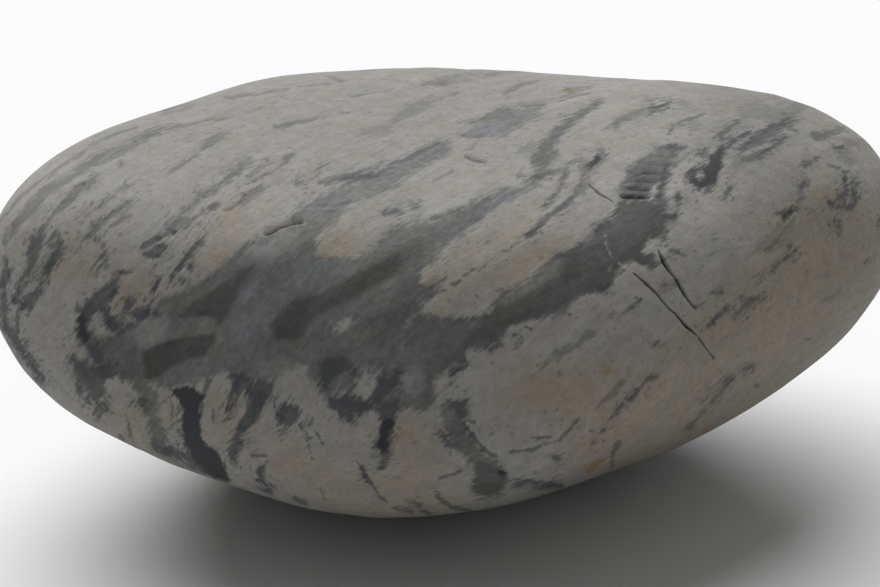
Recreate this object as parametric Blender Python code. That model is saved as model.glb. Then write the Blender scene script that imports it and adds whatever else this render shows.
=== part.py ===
"""River pebble: one water-worn stone, as long as a hand is wide, resting on its underside.

+X runs along the stone to its blunt right end, -Y is the near side with the two cracks, and +Z is up.
The stone is shaped in millimetres about its middle, and its mesh is in metres. The origin is on the
ground, under the middle of the stone's bounding box.

The river ground the stone to broad, soft faces. Its form is an ellipsoid that each face flattens or
fills out, with rounded meetings between the faces. Swells, dips, cracks and ledges are added to that.
"""

import math

import bmesh
import bpy
import numpy as np
from mathutils import Vector

METRES_PER_MM = 0.001

# Driving dimensions of the ellipsoid, in millimetres
LENGTH = 100.0
WIDTH = 73.0
HEIGHT = 44.0
HALF_AXES = np.array([LENGTH, WIDTH, HEIGHT]) / 2

# Depth of the flat that the stone rests on, in millimetres
REST_FLAT_DEPTH = 0.6

# A higher number gives flatter faces and tighter shoulders between them
FACE_FLATNESS = 7.0

# Quads along each side of the cube that the mesh is drawn out from
QUADS_PER_SIDE = 25

# Each worn face looks out along an azimuth (0 the right end, 90 the far side, 270 the near side) and an
# elevation, in degrees. Its fullness is its distance from the middle against the plain ellipsoid's:
# over 1 the stone is fuller there, and under 1 more is worn away.
WORN_FACES = {
    "right end": (0, 0, 1.23),
    "left end": (180, 0, 1.20),
    "top": (260, 85, 0.95),
    "far crest": (85, 70, 1.15),
    "left shoulder": (145, 35, 1.03),
    "right shoulder": (30, 55, 1.43),
    "top right": (325, 60, 1.24),
    "near top": (275, 35, 1.08),
    "near left": (230, 10, 1.09),
    "near flank": (265, 10, 1.08),
    "near right": (315, 10, 0.95),
    "far left": (140, 0, 1.11),
    "far flank": (85, 5, 1.03),
    "far right": (50, -10, 1.20),
    "lower left": (235, -55, 0.96),
    "keel": (285, -65, 1.08),
    "lower right": (310, -45, 0.83),
    "lower far left": (150, -30, 0.84),
    "lower far": (90, -40, 1.07),
    "lower far right": (30, -45, 0.98),
    "underside": (0, -90, 1.09),
}

# Broad swells and dips: azimuth and elevation in degrees, then reach and height in millimetres
SWELLS_AND_DIPS = {
    "left shoulder dip": (159, 29, 8.0, -0.40),
    "top left swell": (172, 52, 11.0, 0.30),
    "near left hollow": (231, 12, 6.0, -0.40),
    "near middle hollow": (249, 18, 6.5, -0.35),
    "near middle swell": (262, 4, 9.0, 0.35),
    "lower front swell": (242, -29, 10.0, 0.40),
    "crack side swell": (300, 12, 7.0, 0.30),
    "right flank dip": (336, 14, 9.0, -0.40),
    "right end swell": (350, 20, 8.0, 0.30),
    "far side dip": (65, 12, 10.0, -0.50),
    "far side swell": (100, 22, 11.0, 0.30),
    "right crest dip": (41, 32, 9.0, -0.45),
    "far left dip": (158, -4, 8.0, -0.40),
    "far lower swell": (75, -25, 9.0, 0.40),
    "right lower dip": (10, -22, 8.0, -0.35),
    "left lower swell": (195, -28, 8.0, 0.30),
}

# Cracks and ledges: a path of (azimuth, elevation) in degrees, then width and depth in millimetres,
# then where the lowest line lies across the width. 0.5 is a plain crack; a low number is a ledge,
# steep at the path's left and easing out to its right.
LINES = {
    "long crack": ([(304.5, 22.0), (307.0, 18.0), (310.0, 14.0), (312.0, 10.5), (316.0, 5.0)], 0.60, 1.10, 0.5),
    "side crack": ([(311.0, 24.0), (311.0, 20.5), (312.0, 17.0), (313.5, 13.5)], 0.55, 0.90, 0.5),
    "short crack": ([(311.0, 39.5), (311.0, 37.0), (311.0, 34.5)], 0.50, 0.50, 0.5),
    "left ledge": ([(240.5, 32.0), (238.0, 30.5), (236.5, 29.0), (235.0, 28.0)], 1.50, 0.70, 0.15),
    "top ledge": ([(326.0, 67.0), (313.0, 68.0), (293.5, 71.5), (286.5, 73.5)], 1.40, 0.40, 0.15),
    "small ledge": ([(289.0, 54.5), (285.5, 57.0), (280.5, 60.5)], 1.20, 0.40, 0.15),
    "crest ledge": ([(27.0, 71.5), (19.5, 68.5), (20.5, 60.5)], 1.20, 0.40, 0.15),
    "crest pit": ([(101.0, 60.0), (95.0, 60.0), (88.5, 59.5)], 1.00, 0.45, 0.5),
}

# The stepped patch: short parallel grooves, from the lowest to the highest, each from left to right
STEP_GROOVES = 7
POINTS_PER_STEP = 5
LOWEST_STEP = ((314.0, 35.5), (320.5, 33.0))
HIGHEST_STEP = ((338.0, 40.0), (340.5, 38.0))
STEP_WIDTH = 0.55
STEP_DEPTH_LOWEST = 0.35
STEP_DEPTH_HIGHEST = 0.22

# How far a cutter stands out above the stone's surface, in millimetres
CUTTER_RISE = 0.8

STONE_COLOUR = (0.19, 0.185, 0.17, 1.0)
STONE_ROUGHNESS = 0.72
SHARP_EDGE_DEGREES = 35.0


def direction(azimuth, elevation):
    """The unit vector from the middle of the stone along an azimuth and an elevation in degrees."""
    a = math.radians(azimuth)
    e = math.radians(elevation)
    return np.array([math.cos(a) * math.cos(e), math.sin(a) * math.cos(e), math.sin(e)])


FACE_DIRECTIONS = np.array([direction(azimuth, elevation) for azimuth, elevation, _ in WORN_FACES.values()])
FACE_FULLNESS = np.array([fullness for _, _, fullness in WORN_FACES.values()])
FACE_DISTANCES = FACE_FULLNESS * np.linalg.norm(FACE_DIRECTIONS * HALF_AXES, axis=1)


def worn_point(unit):
    """Where a line from the middle along a unit vector leaves the stone's broad faces."""
    nearness = np.clip(FACE_DIRECTIONS @ unit / FACE_DISTANCES, 0.0, None)
    return unit * np.sum(nearness ** FACE_FLATNESS) ** (-1.0 / FACE_FLATNESS)


def surface_point(unit):
    """The same place with the swells and dips added, in millimetres about the middle."""
    place = worn_point(unit)
    rise = 0.0
    for azimuth, elevation, reach, height in SWELLS_AND_DIPS.values():
        away = np.linalg.norm(place - worn_point(direction(azimuth, elevation)))
        rise += height * math.exp(-((away / reach) ** 2))
    return place + unit * rise


def surface_normal(unit):
    """The way straight out of the surface, from three places a little apart."""
    step = 0.01
    aside = np.cross(unit, [0.0, 0.0, 1.0])
    aside /= np.linalg.norm(aside)
    upward = np.cross(unit, aside)
    corners = []
    for offset in (np.zeros(3), aside, upward):
        moved = unit + step * offset
        corners.append(surface_point(moved / np.linalg.norm(moved)))
    normal = np.cross(corners[1] - corners[0], corners[2] - corners[0])
    return normal / np.linalg.norm(normal)


def stone_mesh():
    """The whole stone as a cube drawn out to its surface, then cut flat below where it rests."""
    mesh = bmesh.new()
    bmesh.ops.create_cube(mesh, size=2.0)
    bmesh.ops.subdivide_edges(mesh, edges=mesh.edges[:], cuts=QUADS_PER_SIDE - 1, use_grid_fill=True)
    for vert in mesh.verts:
        on_cube = np.array([math.tan(c * math.pi / 4) for c in vert.co])
        spread = on_cube / np.linalg.norm(on_cube) * HALF_AXES
        vert.co = surface_point(spread / np.linalg.norm(spread))
    underside = min(vert.co.z for vert in mesh.verts)
    cut_flat(mesh, underside + REST_FLAT_DEPTH)
    return mesh


def cut_flat(mesh, height):
    """Take away what is below a height and close the stone there with one flat face."""
    everything = mesh.verts[:] + mesh.edges[:] + mesh.faces[:]
    plane = {"plane_co": (0.0, 0.0, height), "plane_no": (0.0, 0.0, -1.0)}
    bmesh.ops.bisect_plane(mesh, geom=everything, clear_outer=True, **plane)
    rim = [edge for edge in mesh.edges if edge.is_boundary]
    bmesh.ops.contextual_create(mesh, geom=rim)
    bmesh.ops.recalc_face_normals(mesh, faces=mesh.faces[:])


def add_groove(mesh, path, width, depth, lowest_at):
    """Add a closed wedge along a path: what it takes away is a groove that runs out at both ends."""
    units = [direction(azimuth, elevation) for azimuth, elevation in path]
    places = [surface_point(unit) for unit in units]
    sections = []
    for index, unit in enumerate(units):
        at_end = index in (0, len(units) - 1)
        before = places[max(index - 1, 0)]
        after = places[min(index + 1, len(units) - 1)]
        along = (after - before) / np.linalg.norm(after - before)
        outward = surface_normal(unit)
        left = np.cross(outward, along)
        here = places[index]
        depth_here = -CUTTER_RISE / 4 if at_end else depth
        spread = width * (depth_here + CUTTER_RISE) / depth
        top = here + outward * CUTTER_RISE
        lowest = here - outward * depth_here
        sections.append([top + left * spread * lowest_at, lowest, top - left * spread * (1 - lowest_at)])
    rings = [[mesh.verts.new(corner) for corner in section] for section in sections]
    for ring, following in zip(rings, rings[1:]):
        for corner in range(3):
            other = (corner + 1) % 3
            mesh.faces.new((ring[corner], ring[other], following[other], following[corner]))
    mesh.faces.new(reversed(rings[0]))
    mesh.faces.new(rings[-1])


def between(start, end, share):
    """The (azimuth, elevation) a share of the way from one to another."""
    return tuple(a + (b - a) * share for a, b in zip(start, end))


def line_cutters():
    """Every crack, ledge and step groove as one mesh of separate wedges."""
    mesh = bmesh.new()
    for path, width, depth, lowest_at in LINES.values():
        add_groove(mesh, path, width, depth, lowest_at)
    for step in range(STEP_GROOVES):
        share = step / (STEP_GROOVES - 1)
        left_end = between(LOWEST_STEP[0], HIGHEST_STEP[0], share)
        right_end = between(LOWEST_STEP[1], HIGHEST_STEP[1], share)
        depth = STEP_DEPTH_LOWEST + (STEP_DEPTH_HIGHEST - STEP_DEPTH_LOWEST) * share
        shares = np.linspace(0.0, 1.0, POINTS_PER_STEP)
        path = [between(left_end, right_end, along) for along in shares]
        add_groove(mesh, path, STEP_WIDTH, depth, 0.5)
    bmesh.ops.recalc_face_normals(mesh, faces=mesh.faces[:])
    return mesh


def make_object(name, mesh, move):
    """Turn a mesh in millimetres into a named object in metres, moved to the stone's own origin."""
    for vert in mesh.verts:
        vert.co = (vert.co + move) * METRES_PER_MM
    data = bpy.data.meshes.new(name)
    mesh.to_mesh(data)
    mesh.free()
    obj = bpy.data.objects.new(name, data)
    bpy.context.scene.collection.objects.link(obj)
    return obj


def stone_material():
    """Dull grey stone, rubbed smooth but not polished."""
    material = bpy.data.materials.new("worn_stone")
    material.use_nodes = True
    shader = material.node_tree.nodes["Principled BSDF"]
    shader.inputs["Base Color"].default_value = STONE_COLOUR
    shader.inputs["Roughness"].default_value = STONE_ROUGHNESS
    shader.inputs["Metallic"].default_value = 0.0
    return material


def move_to_origin(mesh):
    """The move that puts the ground under the middle of the mesh's bounding box."""
    corners = np.array([vert.co for vert in mesh.verts])
    low = corners.min(axis=0)
    high = corners.max(axis=0)
    return Vector((-(low[0] + high[0]) / 2, -(low[1] + high[1]) / 2, -low[2]))


def build_pebble():
    """The stone, with its cracks and ledges cut out of it."""
    mesh = stone_mesh()
    move = move_to_origin(mesh)
    pebble = make_object("pebble", mesh, move)
    pebble.data.shade_smooth()
    pebble.data.set_sharp_from_angle(angle=math.radians(SHARP_EDGE_DEGREES))
    pebble.data.materials.append(stone_material())

    cutter = make_object("lines_cutter", line_cutters(), move)
    cutter.hide_render = True
    cutter.display_type = "WIRE"
    cut = pebble.modifiers.new("lines", "BOOLEAN")
    cut.operation = "DIFFERENCE"
    cut.object = cutter
    cut.solver = "EXACT"
    return pebble


def main():
    """Clear the scene and build the stone."""
    for obj in list(bpy.data.objects):
        bpy.data.objects.remove(obj, do_unlink=True)
    build_pebble()


main()
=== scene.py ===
"""River pebble: a light grey stone with slate-grey and blue-black layers, on a pale studio floor.

The stone is shaped in millimetres about its middle, with +X along it and -Y its near side. Its layers,
cracks and ledges are drawn as seen from the near side, in pixels of a picture 880 wide and 587 high.
On the hidden sides the layers come from noise that is drawn out along the same layering.
"""

import math

import bmesh
import bpy
import numpy as np
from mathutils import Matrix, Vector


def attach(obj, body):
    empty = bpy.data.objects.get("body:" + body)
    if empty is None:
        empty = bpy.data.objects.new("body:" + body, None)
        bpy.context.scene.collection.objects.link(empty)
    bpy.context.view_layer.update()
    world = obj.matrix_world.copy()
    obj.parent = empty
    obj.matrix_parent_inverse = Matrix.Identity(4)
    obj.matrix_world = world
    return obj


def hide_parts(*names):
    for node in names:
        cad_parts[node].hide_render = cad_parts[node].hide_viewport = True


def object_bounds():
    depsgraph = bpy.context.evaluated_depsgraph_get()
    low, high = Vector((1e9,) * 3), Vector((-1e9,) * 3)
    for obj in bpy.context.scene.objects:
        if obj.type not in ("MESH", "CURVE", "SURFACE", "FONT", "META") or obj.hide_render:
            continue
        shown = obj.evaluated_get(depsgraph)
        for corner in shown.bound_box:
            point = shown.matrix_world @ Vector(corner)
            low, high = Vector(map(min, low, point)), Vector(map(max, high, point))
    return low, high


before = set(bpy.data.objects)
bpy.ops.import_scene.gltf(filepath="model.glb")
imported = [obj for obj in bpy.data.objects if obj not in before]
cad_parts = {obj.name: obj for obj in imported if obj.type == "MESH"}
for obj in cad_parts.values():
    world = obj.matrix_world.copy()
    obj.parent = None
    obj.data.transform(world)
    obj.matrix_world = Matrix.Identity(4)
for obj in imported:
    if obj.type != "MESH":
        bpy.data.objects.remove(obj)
CAD_LOW, CAD_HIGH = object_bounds()

MM = 0.001

# Half length, width and height of the plain ellipsoid, the depth of the flat that the stone rests on, how
# far inside the CAD's box the stone stays, and how flat the worn faces are against round
HALF_AXES = np.array([50.0, 36.5, 22.0])
REST_FLAT_DEPTH = 0.6
BOX_INSET = 0.02
FACE_FLATNESS = 7.0

# Worn faces: azimuth (0 the right end, 90 the far side, 270 the near side), elevation, and fullness,
# which is the face's distance from the middle against the plain ellipsoid's
WORN_FACES = {
    "right end": (0, 0, 1.23),
    "left end": (180, 0, 1.20),
    "top": (260, 85, 0.95),
    "far crest": (85, 70, 1.15),
    "left shoulder": (145, 35, 1.03),
    "right shoulder": (30, 55, 1.43),
    "top right": (325, 60, 1.24),
    "near top": (275, 35, 1.08),
    "near left": (230, 10, 1.09),
    "near flank": (265, 10, 1.08),
    "near right": (315, 10, 0.95),
    "far left": (140, 0, 1.11),
    "far flank": (85, 5, 1.03),
    "far right": (50, -10, 1.20),
    "lower left": (235, -55, 0.96),
    "keel": (285, -65, 1.08),
    "lower right": (310, -45, 0.83),
    "lower far left": (150, -30, 0.84),
    "lower far": (90, -40, 1.07),
    "lower far right": (30, -45, 0.98),
    "underside": (0, -90, 1.09),
}

# Broad swells and dips: azimuth, elevation, reach and height in millimetres
SWELLS_AND_DIPS = {
    "left shoulder dip": (159, 29, 8.0, -0.40),
    "top left swell": (172, 52, 11.0, 0.30),
    "near left hollow": (231, 12, 6.0, -0.40),
    "near middle hollow": (249, 18, 6.5, -0.35),
    "near middle swell": (262, 4, 9.0, 0.35),
    "lower front swell": (242, -29, 10.0, 0.40),
    "crack side swell": (300, 12, 7.0, 0.30),
    "right flank dip": (336, 14, 9.0, -0.40),
    "right end swell": (350, 20, 8.0, 0.30),
    "far side dip": (65, 12, 10.0, -0.50),
    "far side swell": (100, 22, 11.0, 0.30),
    "right crest dip": (41, 32, 9.0, -0.45),
    "far left dip": (158, -4, 8.0, -0.40),
    "far lower swell": (75, -25, 9.0, 0.40),
    "right lower dip": (10, -22, 8.0, -0.35),
    "left lower swell": (195, -28, 8.0, 0.30),
}

# The camera: 22 degrees above the floor on the near side, 234 mm from the stone's middle
PICTURE_WIDTH = 880
PICTURE_HEIGHT = 587
CAMERA_ELEVATION = math.radians(22.0)
CAMERA_DISTANCE = 234.0
LENS = 85.0
SENSOR = 36.0
MIDDLE_IN_PICTURE = (444.0, 293.0)
FOCAL_PIXELS = LENS / SENSOR * PICTURE_WIDTH
BACK = np.array([0.0, -math.cos(CAMERA_ELEVATION), math.sin(CAMERA_ELEVATION)])
UP = np.array([0.0, math.sin(CAMERA_ELEVATION), math.cos(CAMERA_ELEVATION)])
RIGHT = np.array([1.0, 0.0, 0.0])

# The layers' own direction: they cut the surface in lines that rise to the right on the near side
LAYER_NORMAL = np.array([0.67, -0.45, -0.59])

# How far around a mark, in pixels, its field is worked out
FIELD_MARGIN = 14.0

# The mesh: quads along each side of the cube it is drawn out from, then how often it is refined
QUADS_PER_SIDE = 60
REFINEMENTS = 4

# The largest quads wanted near each kind of mark, and how far around it, both in pixels of the picture
OUTLINE_CELL = 8.0
OUTLINE_REACH = 5.0
TONE_CELL = 4.5
TONE_REACH = 4.0
STREAK_CELL = 4.6
STREAK_REACH = 3.0
LINE_CELL = 2.8
LINE_REACH = 1.5
LEDGE_CELL = 2.0
CRACK_CELL = 0.9
CRACK_REACH = 1.6
ANY_CELL = 99.0

# How squarely a place faces the camera where the fine mesh ends, and where the drawn marks fade in
FINE_MESH_FACING = -0.05
MARKS_FADE_FACING = (-0.03, 0.08)

# Relief in millimetres: ripples along the layers, small lumps, and how far the dark layers are sunk
RIPPLE_HEIGHT = 0.22
FINE_RIPPLE_HEIGHT = 0.08
LUMP_HEIGHT = 0.35
LUMP_SIZE = 9.0
DARK_SUNK = 0.10
SLATE_SUNK = 0.08

# Ripples to a millimetre, across the layers and two ways along them
RIPPLES = np.array([0.45, 0.07, 0.07])
FINE_RIPPLES = np.array([1.1, 0.16, 0.16])


def even_strokes(lines_by_half_width):
    """Strokes that keep their width, from lines grouped by their half width."""
    return [(half, half, line) for half, lines in lines_by_half_width.items() for line in lines]


def spots(places_by_half_width):
    """Strokes only a pixel long, which look like round spots."""
    return even_strokes({
        half: [[(x, y), (x + 1, y)] for x, y in places] for half, places in places_by_half_width.items()
    })


# Slate-grey layers, as outlines
SLATE_OUTLINES = {
    "left body": [
        (97, 340), (106, 336), (110, 322), (122, 316), (135, 320), (145, 316), (160, 300), (185, 290),
        (215, 270), (240, 247), (262, 237), (305, 222), (320, 205), (345, 190), (352, 205), (330, 228),
        (318, 240), (322, 256), (345, 258), (362, 259), (393, 228), (422, 219), (460, 209), (487, 198),
        (525, 186), (538, 165), (552, 143), (560, 150), (550, 175), (532, 192), (500, 206), (475, 225),
        (460, 237), (445, 247), (436, 258), (427, 268), (420, 285), (432, 283), (445, 277), (436, 290),
        (424, 304), (420, 313), (405, 330), (400, 350), (430, 352), (460, 345), (470, 352), (458, 368),
        (444, 384), (430, 402), (400, 402), (388, 412), (372, 405), (355, 420), (325, 395), (303, 370),
        (282, 378), (262, 385), (245, 385), (225, 372), (205, 378), (185, 388), (160, 388), (135, 385),
        (110, 378), (92, 357),
    ],
    "main band": [
        (400, 330), (420, 313), (440, 317), (460, 318), (478, 315), (490, 308), (497, 298), (505, 290),
        (520, 282), (540, 270), (555, 255), (565, 248), (585, 238), (600, 225), (612, 212), (620, 200),
        (651, 198), (662, 204), (675, 218), (668, 225), (665, 235), (658, 240), (650, 250), (660, 262),
        (655, 268), (640, 268), (630, 262), (618, 275), (612, 287), (600, 292), (578, 298), (560, 312),
        (545, 320), (530, 322), (510, 328), (503, 337), (490, 345), (475, 352), (460, 357), (430, 360),
        (400, 360),
    ],
    "ledge patch": [
        (461, 135), (470, 130), (480, 122), (490, 114), (500, 108), (530, 106), (545, 104), (540, 112),
        (525, 122), (508, 134), (497, 137), (467, 137),
    ],
    "stepped patch": [
        (618, 198), (619, 188), (625, 178), (630, 168), (640, 158), (652, 148), (662, 143), (685, 147),
        (680, 155), (672, 165), (665, 178), (653, 185), (651, 197),
    ],
    "low front patch": [
        (475, 461), (490, 462), (500, 470), (508, 477), (507, 488), (500, 497), (490, 500), (475, 498),
        (470, 488), (476, 475),
    ],
    "low strip": [
        (350, 399), (372, 394), (395, 396), (420, 397), (442, 395), (443, 403), (425, 409), (400, 412),
        (380, 410), (360, 411),
    ],
}

# Slate-grey strands: half width at the start, half width at the end, and the line between
SLATE_STRANDS = [
    (10, 9, [(300, 215), (350, 195), (400, 170), (440, 147)]),
    (7, 2, [(536, 160), (560, 130), (600, 102)]),
    (10, 8, [(452, 412), (457, 430), (464, 444), (475, 456), (490, 466)]),
    (8, 7, [(142, 385), (146, 400), (155, 430), (170, 447)]),
]

# Faint grey streaks with soft edges
FAINT_STREAKS = [
    (2, 4, [(178, 125), (165, 129), (150, 136)]), (3, 2, [(440, 80), (480, 74), (520, 70)]),
    (7, 6, [(745, 112), (775, 112), (795, 116)]), (5, 4, [(810, 213), (812, 216)]),
    (5, 4, [(694, 125), (697, 128)]), (4, 3, [(322, 182), (345, 179), (370, 175), (380, 178)]),
    (5, 4, [(820, 135), (860, 142)]), (4, 3, [(505, 290), (490, 297)]), (5, 4, [(60, 245), (35, 290)]),
    (4, 3, [(250, 160), (225, 175)]), (4, 3, [(655, 345), (668, 345)]), (3, 2, [(840, 292), (825, 300)]),
] + even_strokes({
    2: [[(165, 112), (183, 108), (195, 102)], [(400, 110), (440, 95)]],
    3: [[(690, 103), (660, 96), (640, 104)], [(567, 91), (580, 88), (595, 85)]],
    3.5: [[(600, 100), (575, 118), (557, 135), (550, 143), (520, 148)]],
    4: [[(700, 400), (725, 380)], [(840, 150), (850, 160)]],
    5: [
        [(778, 121), (790, 113), (802, 105)], [(360, 134), (383, 128), (400, 117), (420, 105)],
        [(790, 225), (765, 250)],
    ],
    6: [[(735, 165), (750, 155), (765, 152)]],
})

# Grey streaks with soft edges, darker than the faint ones
GREY_STREAKS = [
    (3, 5, [(158, 132), (140, 141), (120, 149), (100, 158), (80, 169), (60, 182), (42, 195)]),
    (5, 5, [(42, 196), (25, 214), (4, 242)]), (3, 3, [(590, 333), (580, 339), (576, 345)]),
    (4, 3.5, [(571, 348), (562, 354), (555, 357)]), (2.5, 2, [(553, 362), (545, 367), (541, 370)]),
    (4.5, 4, [(618, 125), (632, 117), (645, 110), (652, 106)]),
    (4, 3, [(322, 182), (345, 179), (370, 174), (380, 177)]),
    (3, 2, [(745, 158), (760, 154), (772, 148)]), (3, 2.5, [(600, 405), (612, 392), (622, 380)]),
    (2.5, 2, [(640, 300), (625, 310), (612, 318)]), (4.5, 2, [(816, 135), (828, 133), (844, 129)]),
    (2, 1.5, [(801, 188), (798, 205)]),
]

# Tones of the light stone, and then of the slate against it: tone, how soft the edge is, and the
# outline. Later ones lie over earlier ones. The light stone's darker upper right is painted shade.
LIGHT_TONE = 1.0
LIGHT_TONES_AND_PAINTED_SHADE = [
    (0.9, 30.0, [(50, 180), (190, 150), (230, 215), (120, 290), (60, 270)]),
    (0.94, 30.0, [(60, 60), (560, 60), (560, 150), (300, 200), (100, 200)]),
    # Painted shade: the upper right, where the right flank falls away from the light, is made darker
    (0.8, 40.0, [(700, 60), (815, 60), (832, 215), (760, 215), (690, 150)]),
    (0.94, 14.0, [(240, 355), (310, 350), (320, 390), (250, 395)]),
    (1.05, 12.0, [(430, 262), (500, 225), (560, 200), (560, 225), (480, 262), (440, 282)]),
]
SLATE_TONE = 0.56
# Slate tones; the lighter facet under the left ledge is a painted highlight
SLATE_TONES_AND_PAINTED_HIGHLIGHT = [
    (0.34, 6.0, SLATE_OUTLINES["main band"]), (0.48, 3.0, SLATE_OUTLINES["stepped patch"]),
    (0.62, 6.0, [(497, 300), (505, 287), (530, 271), (550, 256), (564, 258), (558, 274), (542, 284),
        (525, 292), (505, 303)]),
    (0.66, 3.0, SLATE_OUTLINES["ledge patch"]), (0.38, 4.0, SLATE_OUTLINES["low front patch"]),
    (0.64, 12.0, [(290, 225), (350, 180), (450, 130), (460, 155), (400, 190), (320, 235)]),
    (0.54, 10.0, [(430, 240), (420, 215), (480, 190), (560, 120), (600, 100), (560, 180), (480, 228)]),
    (0.43, 9.0, [(375, 350), (370, 320), (410, 300), (480, 310), (480, 360), (440, 370)]),
    (0.5, 8.0, [(300, 372), (340, 350), (430, 355), (440, 400), (360, 425)]),
    (0.46, 8.0, [(92, 350), (105, 335), (140, 345), (140, 390), (100, 385)]),
    # Painted highlight: the slate facet under the left ledge, made lighter
    (0.72, 6.0, [(245, 250), (262, 240), (280, 232), (300, 226), (306, 232), (300, 245), (290, 258),
        (270, 262)]),
    (0.64, 9.0, [(235, 340), (240, 290), (262, 275), (275, 290), (262, 335)]),
    (0.84, 7.0, [(128, 322), (148, 314), (170, 320), (166, 345), (140, 348)]),
    (0.6, 8.0, [(290, 290), (300, 262), (350, 262), (380, 250), (360, 268), (315, 288)]),
    (0.28, 2.5, [(143, 352), (160, 345), (175, 338), (195, 336), (215, 333), (213, 345), (205, 356),
        (185, 361), (170, 369), (160, 378), (142, 382), (143, 368)]),
    (0.31, 3.2, [(255, 262), (238, 268), (228, 280), (205, 293), (190, 305), (180, 317), (200, 314),
        (215, 318), (214, 332), (228, 312), (236, 300), (246, 285), (252, 272)]),
    (0.32, 4.0, [(274, 339), (268, 325), (278, 309), (290, 302), (317, 294), (355, 274), (399, 253),
        (406, 263), (403, 274), (355, 299), (317, 317), (299, 339)]),
    (0.48, 8.0, [(398, 305), (402, 270), (412, 245), (424, 240), (422, 262), (420, 292)]),
    (0.4, 4.0, [(421, 294), (426, 281), (438, 278), (447, 275), (441, 284), (434, 291), (425, 300)]),
    (0.72, 5.0, [(400, 372), (412, 367), (425, 375), (423, 392), (409, 396), (400, 388)]),
    (0.74, 6.0, [(258, 362), (282, 358), (300, 364), (296, 380), (272, 384), (258, 378)]),
]

# Light stone left inside the slate, as outlines
PALE_OUTLINES = [
    [(332, 335), (335, 325), (345, 318), (358, 318), (352, 330)],
    [(316, 254), (320, 240), (334, 229), (356, 227), (374, 233), (366, 247), (350, 256), (330, 258)],
    [(362, 372), (372, 365), (382, 370), (378, 380), (376, 392), (370, 402), (362, 398), (342, 394),
        (355, 385)],
    [(93, 318), (102, 314), (106, 325), (110, 334), (98, 336), (89, 334)],
    [(433, 404), (436, 384), (448, 374), (460, 376), (456, 392), (446, 402)],
    [(212, 440), (216, 410), (224, 378), (234, 374), (230, 400), (222, 432)],
    [(235, 420), (238, 404), (250, 392), (254, 398), (244, 418)],
    [(105, 440), (108, 400), (118, 382), (132, 392), (136, 430), (126, 442)],
    [(168, 450), (164, 402), (174, 398), (178, 420), (180, 452)],
    [(646, 250), (650, 240), (660, 236), (669, 239), (665, 250), (656, 252)],
    [(621, 265), (634, 260), (643, 266), (641, 273), (628, 275)],
]

# How far dark streaks reach into the pale stone inside the slate, in pixels
DARK_INTO_PALE = 2.0

# Pale strands inside the slate
PALE_STRANDS = [
    (3, 2, [(250, 397), (240, 412), (230, 432)]), (6, 4, [(303, 372), (290, 388), (274, 408)]),
    (1.2, 1.2, [(340, 394), (352, 391), (364, 388)]), (4, 4, [(356, 414), (358, 440)]),
    (4, 4, [(374, 416), (370, 452)]), (2, 2, [(377, 458), (378, 466)]),
    (4, 4, [(273, 405), (285, 385), (303, 370)]), (3, 2, [(82, 348), (88, 362)]),
    (3, 3, [(192, 405), (205, 415)]),
]

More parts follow.
